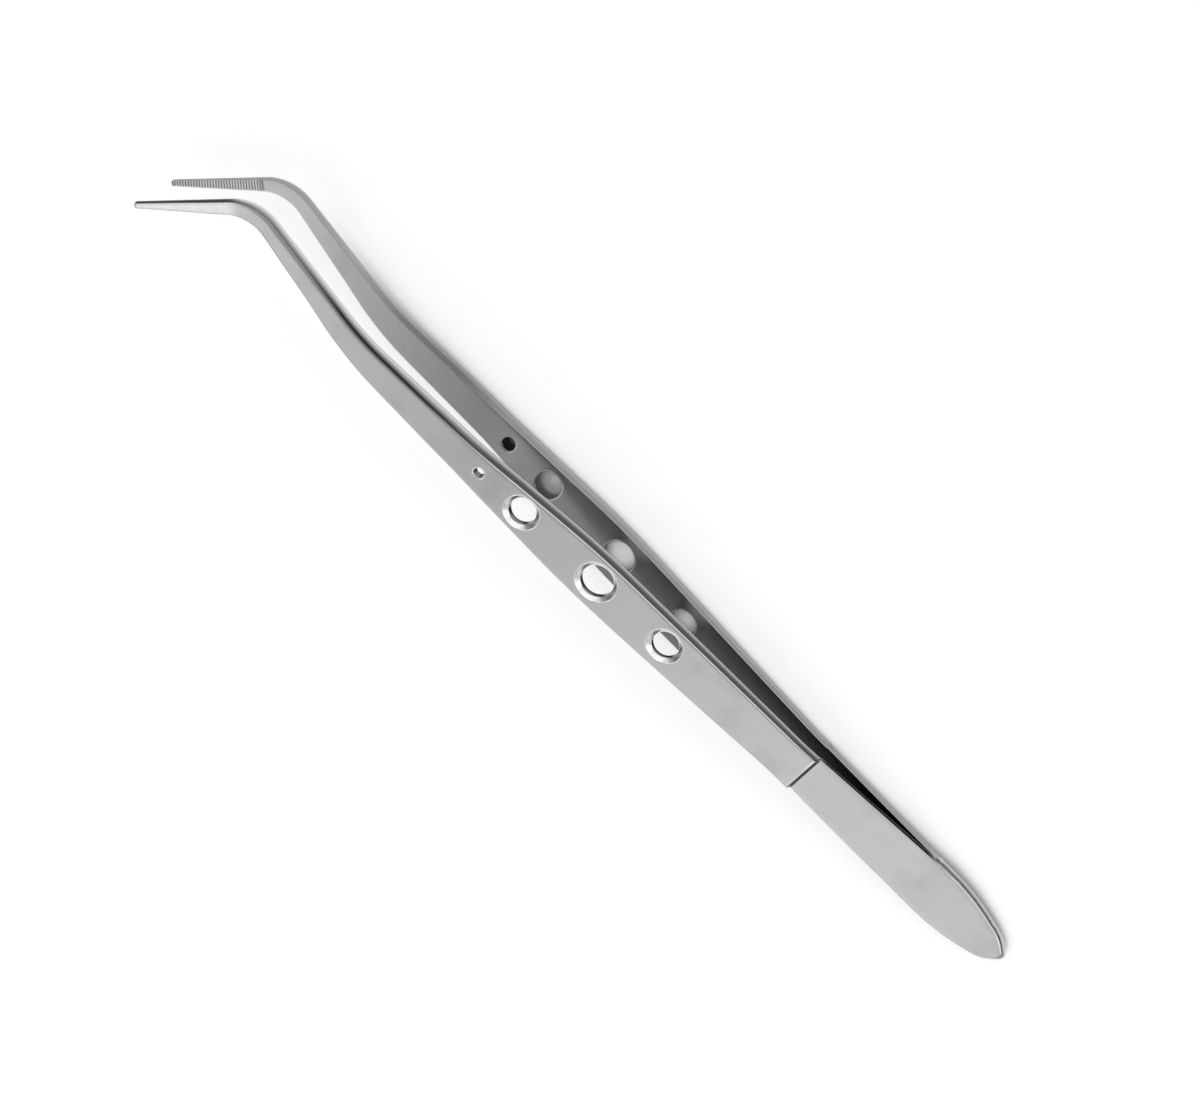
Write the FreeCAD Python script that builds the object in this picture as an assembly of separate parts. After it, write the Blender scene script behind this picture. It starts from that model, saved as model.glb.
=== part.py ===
import FreeCAD, Part
import math
import os

# Cotton pliers, 15 cm pattern. Two mirror-image stainless blanks are laid face to face and welded
# round a pointed heel. In front of the heel each blank is thinned to a spring leaf, steps up at a
# shoulder to a thick handle with three countersunk finger holes, and runs out as a slender bowed
# shank that ends in an angled, serrated jaw. Millimetres throughout.
#
# The pliers are drawn about the plane midway between the arms (x from the heel point to the jaws,
# y across the broad face, z away from the middle plane), and then laid down on the flat outer face
# of the lower handle. The part's origin is on that face, between the rear and middle finger holes.

# Lengths along the pliers, heel point to jaw end
heel_length = 15.8
leaf_length = 20.5
handle_length = 60.7
shank_length = 42.6
jaw_length = 17.75

# Half widths of the broad face
heel_half_width = 3.95
leaf_end_half_width = 2.95
handle_half_width = 3.75
handle_end_half_width = 2.45
jaw_end_half_width = 0.45

# Outline of the heel, a pointed arch that sits a little to one side of the line of the holes:
# where its nose and its cheek turn
nose_back = 2.3
nose_half_width = 2.15
cheek_back = 9.0
cheek_half_width = 3.85
heel_shift = 0.3
nose_radius = 8.0
cheek_radius = 30.0
heel_side_radius = 40.0

# Outline of the handle and shank
leaf_end_setback = 2.7
bulge_setback = 21.0
straight_shank = 20.8
shank_half_width = 2.05
shank_shift = 0.2
shank_sweep = 4.27
leaf_end_radius = 60.0
bulge_radius = 150.0
handle_end_radius = 60.0
shank_radius = 40.0

# Outline of the bend and the jaw, seen on the broad face
jaw_angle = 46.5
bend_half_step_x = 0.43
bend_half_step_y = 0.92
bend_inside_radius = 6.2
bend_outside_radius = 7.4
jaw_corner_radius = 0.3

# Side view: height of the inner face above the middle plane, and the thickness of the blank
leaf_rise = 1.5
handle_rise = 2.8
jaw_opening = 9.6
heel_point_thickness = 0.72
throat_thickness = 0.95
leaf_end_thickness = 0.65
shoulder_thickness = 1.75
handle_end_thickness = 2.4
bend_thickness = 1.75
jaw_end_thickness = 1.0
leaf_end_bow_radius = 60.0
handle_end_bow_radius = 150.0
bend_bow_radius = 60.0

# Finger holes, rear to front, each bored through and countersunk from the outer face
rear_hole_setback = 25.0
middle_hole_pitch = 12.3
front_hole_pitch = 13.4
end_hole_bore = 3.8
end_hole_sink = 5.05
middle_hole_bore = 4.6
middle_hole_sink = 5.8
sink_angle = 90.0

# Guide hole in front of the finger holes, larger in the lower arm
guide_hole_pitch = 7.6
upper_guide_bore = 1.55
lower_guide_bore = 1.9

# Cross serrations of the jaw faces
serration_pitch = 0.42
serration_width = 0.27
serration_depth = 0.13
serration_count = 33
serration_start = 0.35

# Weld run round the heel's seam and ground flush
seam_chamfer = 0.35

# Stations along x
throat_x = heel_length
shoulder_x = throat_x + leaf_length
handle_end_x = shoulder_x + handle_length
bend_x = handle_end_x + shank_length
bend_y = -shank_sweep
jaw_dir = FreeCAD.Vector(math.cos(math.radians(jaw_angle)), math.sin(math.radians(jaw_angle)), 0)
jaw_across = FreeCAD.Vector(-jaw_dir.y, jaw_dir.x, 0)
jaw_end = FreeCAD.Vector(bend_x, bend_y, 0) + jaw_dir * jaw_length
rear_hole_x = shoulder_x + rear_hole_setback
middle_hole_x = rear_hole_x + middle_hole_pitch
front_hole_x = middle_hole_x + front_hole_pitch
guide_hole_x = front_hole_x + guide_hole_pitch

# The jaw faces lie on a plane through the hinge line, so they meet flush when the arms close
jaw_slope = jaw_opening / 2 / (jaw_end.x - throat_x)
closing_angle = math.degrees(math.atan(jaw_slope))
shoulder_outer_z = leaf_rise + shoulder_thickness
handle_end_inner_z = leaf_rise + handle_rise
handle_end_outer_z = handle_end_inner_z + handle_end_thickness
handle_slope = (handle_end_outer_z - shoulder_outer_z) / handle_length
handle_tilt = math.degrees(math.atan(handle_slope))

# Room that cutting tools and clipping slabs have beyond the metal, and how far the
# countersink's cone reaches above the face
spare = 5.0
sink_lead = 0.5

# Share of an edge that the arc at one of its ends may use, just under a half
corner_share = 0.48

# How close to a plane an edge lies when it counts as being on it
touching = 0.03


def jaw_face_z(x):
    """Height of the jaw plane, which passes through the hinge line at the throat."""
    return (x - throat_x) * jaw_slope


def handle_outer_z(x):
    """Height of the flat outer face of the handle."""
    return shoulder_outer_z + (x - shoulder_x) * handle_slope


def rounded_outline(corners):
    """Closed wire through (point, radius) corners, each corner turned by a tangent arc."""
    count = len(corners)
    starts = []
    ends = []
    middles = []
    for i in range(count):
        point, radius = corners[i]
        back = corners[i - 1][0] - point
        ahead = corners[(i + 1) % count][0] - point
        half_turn = (math.pi - back.getAngle(ahead)) / 2
        room = corner_share * min(back.Length, ahead.Length)
        tangent = min(radius * math.tan(half_turn), room)
        back.normalize()
        ahead.normalize()
        starts.append(point + back * tangent)
        ends.append(point + ahead * tangent)
        if tangent > 0:
            inward = (back + ahead).normalize()
            arc_radius = tangent / math.tan(half_turn)
            middles.append(point + inward * arc_radius * (1 / math.cos(half_turn) - 1))
        else:
            middles.append(None)
    edges = []
    for i in range(count):
        if middles[i] is not None:
            edges.append(Part.Arc(starts[i], middles[i], ends[i]).toShape())
        edges.append(Part.LineSegment(ends[i], starts[(i + 1) % count]).toShape())
    return Part.Wire(edges)


def plan_outline():
    """Outline of a blank on its broad face, heel point to jaw end and back."""
    def at(x, y, radius=0.0):
        return (FreeCAD.Vector(x, y, 0), radius)

    stations = [
        (nose_back, heel_shift, nose_half_width, nose_radius),
        (cheek_back, heel_shift, cheek_half_width, cheek_radius),
        (throat_x, heel_shift, heel_half_width, heel_side_radius),
        (shoulder_x + leaf_end_setback, 0, leaf_end_half_width, leaf_end_radius),
        (handle_end_x - bulge_setback, 0, handle_half_width, bulge_radius),
        (handle_end_x, 0, handle_end_half_width, handle_end_radius),
    ]
    near_side = [at(x, middle + half, radius) for x, middle, half, radius in stations]
    near_side.append(at(handle_end_x + straight_shank, shank_half_width + shank_shift, shank_radius))
    near_side.append(at(bend_x - bend_half_step_x, bend_y + bend_half_step_y, bend_inside_radius))
    far_side = [at(x, middle - half, radius) for x, middle, half, radius in stations]
    far_side.append(at(handle_end_x + straight_shank, shank_shift - shank_half_width, shank_radius))
    far_side.append(at(bend_x + bend_half_step_x, bend_y - bend_half_step_y, bend_outside_radius))
    end_half = jaw_across * jaw_end_half_width
    end_corners = [(jaw_end + end_half, jaw_corner_radius), (jaw_end - end_half, jaw_corner_radius)]
    return rounded_outline([at(0, 0)] + near_side + end_corners + far_side[::-1])


def side_outline():
    """Outline of the upper blank seen from the side, inner face forwards and outer face back."""
    def at(x, z, radius=0.0):
        return (FreeCAD.Vector(x, 0, z), radius)

    past_end = jaw_end.x + spare
    bend_z = jaw_face_z(bend_x)
    taper = (bend_thickness - jaw_end_thickness) / (jaw_end.x - bend_x)
    past_thickness = jaw_end_thickness - taper * spare
    inner = [
        at(-spare, 0),
        at(throat_x, 0),
        at(shoulder_x, leaf_rise, leaf_end_bow_radius),
        at(handle_end_x, handle_end_inner_z, handle_end_bow_radius),
        at(bend_x, bend_z, bend_bow_radius),
        at(past_end, jaw_face_z(past_end)),
    ]
    outer = [
        at(past_end, jaw_face_z(past_end) + past_thickness),
        at(bend_x, bend_z + bend_thickness, bend_bow_radius),
        at(handle_end_x, handle_end_outer_z, handle_end_bow_radius),
        at(shoulder_x, shoulder_outer_z),
        at(shoulder_x, leaf_rise + leaf_end_thickness),
        at(throat_x, throat_thickness),
        at(0, heel_point_thickness),
        at(-spare, heel_point_thickness),
    ]
    return rounded_outline(inner + outer)


def seam_edges(half):
    """Edges of a heel half that bound its inner face, all but the one across the throat."""
    found = []
    for edge in half.Edges:
        on_middle_plane = edge.BoundBox.ZMax < touching
        at_throat = edge.BoundBox.XMin > throat_x - touching
        if on_middle_plane and not at_throat:
            found.append(edge)
    return found


def blank():
    """One whole stamped blank, the upper one, before it is drilled and serrated."""
    height = jaw_face_z(jaw_end.x) + handle_end_outer_z
    plan = Part.Face(plan_outline()).extrude(FreeCAD.Vector(0, 0, height))
    depth = 2 * (jaw_end.y + heel_half_width + spare)
    side = Part.Face(side_outline()).extrude(FreeCAD.Vector(0, depth, 0))
    side.translate(FreeCAD.Vector(0, -depth / 2, 0))
    return plan.common(side).Solids[0]


def front_of_throat():
    """A block that holds all the metal in front of the throat."""
    length = jaw_end.x - throat_x + spare
    width = 2 * (jaw_end.y + spare)
    corner = FreeCAD.Vector(throat_x, -width / 2, -spare)
    return Part.makeBox(length, width, handle_end_outer_z + 2 * spare, corner)


def bore_through(x, diameter):
    """A drill square to the flat outer face of the handle."""
    normal = FreeCAD.Vector(-handle_slope, 0, 1).normalize()
    top = FreeCAD.Vector(x, 0, handle_outer_z(x)) + normal * spare
    return Part.makeCylinder(diameter / 2, handle_end_outer_z + 2 * spare, top, normal * -1)


def countersink(x, bore, sink):
    """A cone from the outer face down to the bore."""
    normal = FreeCAD.Vector(-handle_slope, 0, 1).normalize()
    slope = math.tan(math.radians(sink_angle / 2))
    depth = (sink - bore) / 2 / slope
    top = FreeCAD.Vector(x, 0, handle_outer_z(x)) + normal * sink_lead
    top_radius = sink / 2 + sink_lead * slope
    return Part.makeCone(top_radius, bore / 2, sink_lead + depth, top, normal * -1)


def finger_holes():
    """The three countersunk holes, as one set of cutters."""
    rows = [
        (rear_hole_x, end_hole_bore, end_hole_sink),
        (middle_hole_x, middle_hole_bore, middle_hole_sink),
        (front_hole_x, end_hole_bore, end_hole_sink),
    ]
    cutters = []
    for x, bore, sink in rows:
        cutters.append(bore_through(x, bore))
        cutters.append(countersink(x, bore, sink))
    return cutters


def serrations(shift):
    """V grooves across the jaw face, measured back from the jaw's end."""
    cutters = []
    along = FreeCAD.Vector(jaw_dir.x, jaw_dir.y, jaw_dir.x * jaw_slope)
    across = FreeCAD.Vector(jaw_across.x, jaw_across.y, jaw_across.x * jaw_slope)
    half_length = 2 * bend_half_step_y + jaw_end_half_width
    face_end = FreeCAD.Vector(jaw_end.x, jaw_end.y, jaw_face_z(jaw_end.x))
    for i in range(serration_count):
        middle = face_end - along * (serration_start + shift + i * serration_pitch)
        start = middle - across * half_length
        root = start + FreeCAD.Vector(0, 0, serration_depth)
        below = FreeCAD.Vector(0, 0, -serration_depth)
        left = start - along * serration_width + below
        right = start + along * serration_width + below
        groove = Part.Face(Part.makePolygon([left, root, right, left]))
        cutters.append(groove.extrude(across * 2 * half_length))
    return cutters


def arm(guide_bore, serration_shift):
    """Leaf, handle, shank and jaw: everything of the upper blank in front of the throat."""
    solid = blank().common(front_of_throat())
    solid = solid.cut(finger_holes())
    solid = solid.cut([bore_through(guide_hole_x, guide_bore)])
    return solid.cut(serrations(serration_shift)).Solids[0]


def heel_half():
    """The tail of the upper blank, chamfered along the seam for the weld."""
    solid = blank().cut(front_of_throat()).Solids[0]
    return solid.makeChamfer(seam_chamfer, seam_edges(solid))


def heel_weld(upper_half, lower_half):
    """What fills the V between the two chamfered halves, flush with the heel's outline."""
    slab = Part.Face(plan_outline()).extrude(FreeCAD.Vector(0, 0, 2 * seam_chamfer))
    slab.translate(FreeCAD.Vector(0, 0, -seam_chamfer))
    slab = slab.cut(front_of_throat())
    return slab.cut([upper_half, lower_half])


def mirrored(shape):
    """The same piece on the other side of the middle plane."""
    return shape.mirror(FreeCAD.Vector(0, 0, 0), FreeCAD.Vector(0, 0, 1))


def laid_down(shape):
    """From the middle plane's frame to the part's: the lower handle's outer face comes to z = 0."""
    rest_x = (rear_hole_x + middle_hole_x) / 2
    contact = FreeCAD.Vector(rest_x, 0, -handle_outer_z(rest_x))
    placed = shape.copy()
    placed.translate(contact * -1)
    placed.rotate(FreeCAD.Vector(0, 0, 0), FreeCAD.Vector(0, 1, 0), -handle_tilt)
    return placed


def pieces():
    """Every separate piece by its node name, still about the middle plane."""
    upper_half = heel_half()
    lower_half = mirrored(upper_half)
    return {
        "upper_arm": arm(upper_guide_bore, 0.0),
        "lower_arm": mirrored(arm(lower_guide_bore, serration_pitch / 2)),
        "heel_upper_half": upper_half,
        "heel_lower_half": lower_half,
        "heel_weld": heel_weld(upper_half, lower_half),
    }


def main():
    os.makedirs("parts", exist_ok=True)
    for name, shape in pieces().items():
        placed = laid_down(shape)
        box = placed.BoundBox
        print(name, "solids", len(placed.Solids), "valid", placed.isValid(),
              "volume %.2f" % placed.Volume, "faces", len(placed.Faces))
        print("   x %.2f %.2f  y %.2f %.2f  z %.2f %.2f" % (
            box.XMin, box.XMax, box.YMin, box.YMax, box.ZMin, box.ZMax))
        placed.exportStep("parts/%s.step" % name)
    hinge = laid_down(Part.Vertex(throat_x, 0, 0)).Point
    print("hinge", hinge, "closing angle %.4f" % closing_angle, "tilt %.4f" % handle_tilt)


main()
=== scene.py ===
# %% [markdown]
# # Cotton pliers in satin stainless steel
#
# The pliers are two stamped and ground blanks of stainless steel, laid face to face and welded
# round the heel. This script dresses the imported model of them: each blank becomes one closed
# mesh whose edges are rounded, whose finger holes are countersunk, and whose jaw is cut with
# cross serrations. The imported frame comes first, because it says where everything is and how
# the arms move.

# %% Load the frame and keep its meshes
import math

import bmesh
import bpy
import numpy as np
from mathutils import Matrix, Vector


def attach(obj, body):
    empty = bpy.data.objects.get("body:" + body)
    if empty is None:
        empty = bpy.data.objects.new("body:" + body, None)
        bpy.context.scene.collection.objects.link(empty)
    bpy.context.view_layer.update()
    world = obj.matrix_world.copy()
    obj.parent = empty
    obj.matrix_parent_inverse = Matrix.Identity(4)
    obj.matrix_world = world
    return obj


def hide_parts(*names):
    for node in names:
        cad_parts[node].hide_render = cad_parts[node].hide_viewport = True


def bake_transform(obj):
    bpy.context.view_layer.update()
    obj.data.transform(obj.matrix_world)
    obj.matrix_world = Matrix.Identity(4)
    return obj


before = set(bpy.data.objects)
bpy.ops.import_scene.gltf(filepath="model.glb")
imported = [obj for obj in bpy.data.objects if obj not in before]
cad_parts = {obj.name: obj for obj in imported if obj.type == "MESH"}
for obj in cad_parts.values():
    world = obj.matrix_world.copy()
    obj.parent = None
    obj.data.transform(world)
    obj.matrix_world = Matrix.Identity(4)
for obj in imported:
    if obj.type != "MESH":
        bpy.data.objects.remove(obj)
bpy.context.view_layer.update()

# %% [markdown]
# ## The sizes of a blank
#
# The blanks are described in millimetres before they are laid down: x runs from the heel's point
# to the jaws, y across the broad face, and z away from the plane midway between the two arms. The
# numbers are the ones the solid model is built from, so that both have the same outline. What the
# solid leaves out is added here: the small radius that tumbling puts on every edge, the slight
# crown of the ground sides, a swelling of the left one, the flared bores and the blunted nose.

# %% Sizes in millimetres
heel_length = 15.8
leaf_length = 20.5
handle_length = 60.7
shank_length = 42.6
jaw_length = 17.75
throat_x = heel_length
shoulder_x = throat_x + leaf_length
handle_end_x = shoulder_x + handle_length
bend_x = handle_end_x + shank_length
bend_y = -4.27
jaw_turn = math.radians(46.5)
jaw_way = np.array([math.cos(jaw_turn), math.sin(jaw_turn)])
jaw_side = np.array([-jaw_way[1], jaw_way[0]])
jaw_end = np.array([bend_x, bend_y]) + jaw_way * jaw_length

leaf_rise = 1.5
handle_rise = 2.8
jaw_opening = 9.6
heel_end_thick, throat_thick, leaf_end_thick = 0.72, 0.95, 0.65
shoulder_thick, handle_end_thick, bend_thick, jaw_end_thick = 1.75, 2.4, 1.75, 1.0
jaw_slope = jaw_opening / 2 / (jaw_end[0] - throat_x)
shoulder_top = leaf_rise + shoulder_thick
handle_end_low = leaf_rise + handle_rise
handle_end_top = handle_end_low + handle_end_thick
handle_slope = (handle_end_top - shoulder_top) / handle_length
bend_low = (bend_x - throat_x) * jaw_slope

rear_hole_x = shoulder_x + 25.0
middle_hole_x = rear_hole_x + 12.3
front_hole_x = middle_hole_x + 13.4
guide_hole_x = front_hole_x + 7.6
serration_pitch = 0.42
serration_width = 0.27
serration_depth = 0.13
serration_count = 33
serration_start = 0.35
print("blank length %.1f mm, jaw end at %s" % (jaw_end[0], jaw_end.round(2)))

# %% [markdown]
# ## The outline as a path with rounded corners
#
# On the real pliers the outline is stamped with a die and then ground by hand, so its straight
# runs flow into each other through wide arcs. A path through corner points with a radius at each
# corner says exactly that, in few numbers. It could also be drawn as a Bezier curve, but then the
# radii that the solid model names would be lost.

# %% A path whose corners are tangent arcs
arc_steps = 40


def rounded_path(corners):
    """Corner i is cut back by r tan(turn / 2) along both of its runs, at most 0.48 of the shorter
    one, and an arc that touches both runs joins the two cuts. Corners are (x, y, radius)."""
    corners = np.asarray(corners, float)
    points = corners[:, :2]
    pieces = [points[:1]]
    for (before, here, after), radius in zip(zip(points, points[1:], points[2:]), corners[1:-1, 2]):
        back, ahead = before - here, after - here
        room = 0.48 * min(np.hypot(*back), np.hypot(*ahead))
        back, ahead = back / np.hypot(*back), ahead / np.hypot(*ahead)
        half_turn = (math.pi - math.acos(float(np.clip(back @ ahead, -1, 1)))) / 2
        cut = min(radius * math.tan(half_turn), room)
        if cut < 1e-6:
            pieces.append(here[None])
            continue
        arc_radius = cut / math.tan(half_turn)
        inward = (back + ahead) / np.hypot(*(back + ahead))
        centre = here + inward * arc_radius / math.cos(half_turn)
        angle = np.linspace(-half_turn, half_turn, arc_steps + 1)[:, None]
        along = (ahead - back) / np.hypot(*(ahead - back))
        pieces.append(centre + arc_radius * (np.sin(angle) * along - np.cos(angle) * inward))
    pieces.append(points[-1:])
    return np.concatenate(pieces)


# %% [markdown]
# The outline's corners are listed once, with their middle line, half width and radius, and the
# two long edges are made of them with opposite signs.

# %% The two long edges of the blank
heel_shift = 0.3
nose_radius = 0.7
stations_of_outline = [
    (2.3, heel_shift, 2.15, 8.0),
    (9.0, heel_shift, 3.85, 30.0),
    (throat_x, heel_shift, 3.95, 40.0),
    (shoulder_x + 2.7, 0.0, 2.95, 60.0),
    (handle_end_x - 21.0, 0.0, 3.75, 150.0),
    (handle_end_x, 0.0, 2.45, 60.0),
]
shank_x, shank_middle, shank_half = handle_end_x + 20.8, 0.2, 2.05
bend_half = np.array([-0.43, 0.92])
bend_radius = {1: 6.2, -1: 7.4}
jaw_end_half = jaw_side * 0.45


def edge_corners(side):
    """The corners of one long edge: middle + side x half width, with side 1 left and -1 right."""
    corners = [(x, middle + side * half, radius) for x, middle, half, radius in stations_of_outline]
    corners += [(shank_x, shank_middle + side * shank_half, 40.0)]
    corners += [(bend_x + side * bend_half[0], bend_y + side * bend_half[1], bend_radius[side])]
    return corners + [(*(jaw_end + side * jaw_end_half), 0.3)]


whole_outline = rounded_path(
    [(*jaw_end, 0)] + edge_corners(-1)[::-1] + [(0, 0, nose_radius)] + edge_corners(1)
    + [(*jaw_end, 0)]
)
nose = int(np.argmin(whole_outline[:, 0]))
right_edge = whole_outline[: nose + 1][::-1]
left_edge = whole_outline[nose:]
nose_x = whole_outline[nose, 0]
print("outline points", len(left_edge), len(right_edge), "nose at %.2f mm" % nose_x)

# %% [markdown]
# ## The side view
#
# Seen from the side, the blank is thin at the heel and in the spring leaf, steps up at the
# shoulder and is bowed in the handle and shank. The inner and outer faces are two more paths with
# rounded corners. The shoulder's wall is upright with a small fillet at its foot and a broken edge
# at its top, as a form cutter leaves it.

# %% Heights of the inner and the outer face
first_x, last_x = -5.0, 170.0
outer_taper = (bend_thick - jaw_end_thick) / (jaw_end[0] - bend_x)
inner_path = rounded_path([
    (first_x, 0, 0), (throat_x, 0, 0), (shoulder_x, leaf_rise, 60),
    (handle_end_x, handle_end_low, 150), (bend_x, bend_low, 60),
    (last_x, (last_x - throat_x) * jaw_slope, 0),
])
outer_path = rounded_path([
    (shoulder_x, shoulder_top, 0), (handle_end_x, handle_end_top, 150),
    (bend_x, bend_low + bend_thick, 60),
    (last_x, (last_x - throat_x) * jaw_slope + bend_thick - outer_taper * (last_x - bend_x), 0),
])
tail_path = np.array([(first_x, heel_end_thick), (0, heel_end_thick), (throat_x, throat_thick),
                      (shoulder_x, leaf_rise + leaf_end_thick)])


def inner_z(x):
    """Height of the inner face: straight runs joined by wide arcs, read off its path."""
    return np.maximum(np.interp(x, inner_path[:, 0], inner_path[:, 1]), 0.01)


def outer_z(x):
    """Height of the outer face in front of the shoulder, read off its path."""
    return np.interp(x, outer_path[:, 0], outer_path[:, 1])


def tail_z(x):
    """Height of the outer face behind the shoulder, on the leaf and the heel."""
    return np.interp(x, tail_path[:, 0], tail_path[:, 1])


print("handle end thickness %.2f mm" % (outer_z(handle_end_x) - inner_z(handle_end_x)))

# %% [markdown]
# ## Where the cross-sections stand
#
# A blank is a section carried along the outline. In the heel, leaf, handle and shank each section
# stands square across the blank. In the bend they fan round, and along the jaw they stand square
# to the jaw, so that a serration is simply one row of the mesh raised into the metal. They stand
# close together where the shape turns quickly: at the nose, the shoulder, the holes and the jaw.

# %% Stations along the blank
columns = 12
hole_half_lengths = {"rear": 3.5, "middle": 3.9, "front": 3.5, "guide": 2.1}
hole_places = {"rear": rear_hole_x, "middle": middle_hole_x, "front": front_hole_x,
               "guide": guide_hole_x}


def spaced(start, end, step):
    """Evenly spaced values from start up to but not including end, about step apart."""
    count = max(1, round((end - start) / step))
    return np.linspace(start, end, count, endpoint=False)


wall_angle = math.radians(68)
wall_turn = np.linspace(0, wall_angle, 6)
foot_radius, top_radius = 0.16, 0.14
foot_start, wall_run = shoulder_x - 0.3, 0.52
wall_foot_z = float(tail_z(foot_start))
foot_x = foot_start + foot_radius * np.sin(wall_turn)
foot_z = wall_foot_z + foot_radius * (1 - np.cos(wall_turn))
crest_end = foot_start + wall_run + 0.12
crest_x = crest_end - top_radius * np.sin(wall_turn[::-1])
crest_z = outer_z(crest_end) - top_radius * (1 - np.cos(wall_turn[::-1]))

tail_x = np.concatenate([
    nose_x + nose_radius * (1 - np.cos(np.radians([4, 14, 26, 40, 56, 74]))),
    spaced(nose_x + nose_radius, throat_x, 0.55),
    spaced(throat_x, foot_start, 0.8),
])
handle_runs = []
cursor = crest_end + 0.3
hole_rows = {}
count = len(tail_x) + len(foot_x) + len(crest_x)
for name, place in hole_places.items():
    half = hole_half_lengths[name]
    run = spaced(cursor, place - half, 1.1)
    patch = np.linspace(place - half, place + half, columns + 1)[:-1]
    hole_rows[name] = (count + len(run), count + len(run) + columns)
    handle_runs += [run, patch]
    count += len(run) + columns
    cursor = place + half
fan_start_x = bend_x - 6.2
front_x = np.concatenate(handle_runs + [spaced(cursor, fan_start_x, 1.0)])
straight_outer_x = np.concatenate([tail_x, foot_x, crest_x, front_x])
wall_rows = slice(len(tail_x), len(tail_x) + len(foot_x) + len(crest_x))
straight_inner_x = straight_outer_x.copy()
straight_inner_x[wall_rows] = np.linspace(foot_x[0], crest_x[-1], len(foot_x) + len(crest_x))
straight_outer_z = np.concatenate([tail_z(tail_x), foot_z, crest_z, outer_z(front_x)])
wall_shade = np.concatenate([wall_turn, wall_turn[::-1]]) / wall_angle
crest_highlight = np.concatenate([wall_turn * 0, np.linspace(0, 1, len(crest_x))])
print("straight stations", len(straight_outer_x), "hole rows", hole_rows)

# %% [markdown]
# The jaw's stations are distances back from its end. Four of them make one serration: the two
# lips of the V and the two sides of its narrow root. The lower jaw's serrations are half a pitch
# out of step with the upper jaw's, so that the teeth mesh on a cotton roll.

# %% Stations through the bend and along the jaw
fan_end_back = 14.7
fan_steps = 26
root_share = 0.06
fade_start, fade_length = 0.3, 1.4
tip_backs = 0.2 * (1 - np.sin(np.radians([30, 50, 68, 86])))


def jaw_backs(shift):
    """Distances back from the jaw's end, falling to nearly nothing, and how deep the V groove is
    at each: a lip, the two sides of the root, a lip, once in each pitch. Nearest the bend the
    depth fades in, by 0.3 + distance / 1.4."""
    roots = serration_start + shift + np.arange(serration_count)[::-1] * serration_pitch
    lips = np.array([0.5, root_share, -root_share, -0.5]) * serration_width
    grooves = (roots[:, None] + lips).ravel()
    depths = np.tile([0.0, 1.0, 1.0, 0.0], serration_count) * serration_depth
    depths *= np.clip(fade_start + (grooves[0] - grooves) / fade_length, 0, 1)
    keep = grooves > tip_backs[0] + 0.02
    backs = np.concatenate([[grooves[0] + 0.25], grooves[keep], tip_backs])
    depths = np.concatenate([[0.0], depths[keep], np.zeros(len(tip_backs))])
    return backs, depths


def station_lines(shift):
    """Centre, angle and groove depth of every section line from the bend to the jaw's end. In the
    bend the centre follows a quadratic curve and the angle a smooth step between its two ends."""
    backs, depths = jaw_backs(shift)
    start_y = np.interp(fan_start_x, [shank_x, bend_x], [shank_middle, bend_y])
    start = np.array([fan_start_x, start_y])
    end = jaw_end - jaw_way * fan_end_back
    pull = np.array([bend_x - 0.2, bend_y + 0.1])
    t = np.linspace(0, 1, fan_steps + 1)[:, None]
    fan = (1 - t) ** 2 * start + 2 * t * (1 - t) * pull + t**2 * end
    turn = jaw_turn * (t[:, 0] ** 2 * (3 - 2 * t[:, 0]))
    centres = np.concatenate([fan, jaw_end - jaw_way * backs[:, None]])
    turns = np.concatenate([turn, np.full(len(backs), jaw_turn)])
    return centres, turns, np.concatenate([np.zeros(len(turn)), depths])


def crossings(edge, centres, turns):
    """Where each section line meets an edge: the first place along the edge at which the distance
    in front of the line stops being negative, found between its two nearest points."""
    way = np.stack([np.cos(turns), np.sin(turns)], 1)
    ahead = (edge[None] * way[:, None]).sum(2) - (centres * way).sum(1)[:, None]
    after = np.clip(np.argmax(ahead >= 0, axis=1), 1, None)[:, None]
    a = np.take_along_axis(ahead, after - 1, 1)
    b = np.take_along_axis(ahead, after, 1)
    share = a / (a - b)
    return edge[after[:, 0] - 1] * (1 - share) + edge[after[:, 0]] * share


print("jaw stations", len(jaw_backs(0.0)[0]))

# %% [markdown]
# ## The section
#
# Every section is a rectangle with rounded corners whose two short sides are slightly crowned,
# because they are ground on a soft belt. The outer edges have the larger radius, since the hand
# meets them, and the inner ones are only broken. The whole blank is then one array with a row for
# each station and a column for each point of the section, and no vertex is placed one at a time.

# %% The section carried along the stations
corner_steps = 6
side_steps = 5
crown_angle = math.radians(20)
corner_turn = np.linspace(crown_angle, math.pi / 2, corner_steps + 1)
edge_rounding = ([0, 36, 42, 75, 97, 115, 135, 142, 152],
                 [0.14, 0.14, 0.4, 0.45, 0.5, 0.7, 0.7, 0.45, 0.35])
far_rounding = ([0, 36, 38, 60, 97, 135, 142, 152],
                [0.14, 0.14, 0.85, 0.85, 0.7, 0.7, 0.45, 0.35])
left_rounding = ([0, 36, 42, 152], [0.14, 0.14, 0.26, 0.26])
left_swell = (
    [18, 24, 34, 37, 42, 50, 66, 76, 96, 104, 112, 118, 126, 132, 136, 140, 144, 148, 151],
    [0, 0.18, 0.26, 0.18, 0.18, 0.26, 0.26, 0.18, 0.18, 0.08, 0, -0.1, 0, 0.28, 0.42, 0.42,
     0.3, 0.12, 0])
nose_edge, outer_tip_edge, inner_tip_edge, inner_edge = 0.3, 0.22, 0.14, 0.14
weld_groove = 0.3
far_swell = 0.5
face_share = np.linspace(0, 1, columns + 1)
side_share = np.linspace(0, 1, side_steps + 1)[1:-1]


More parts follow.
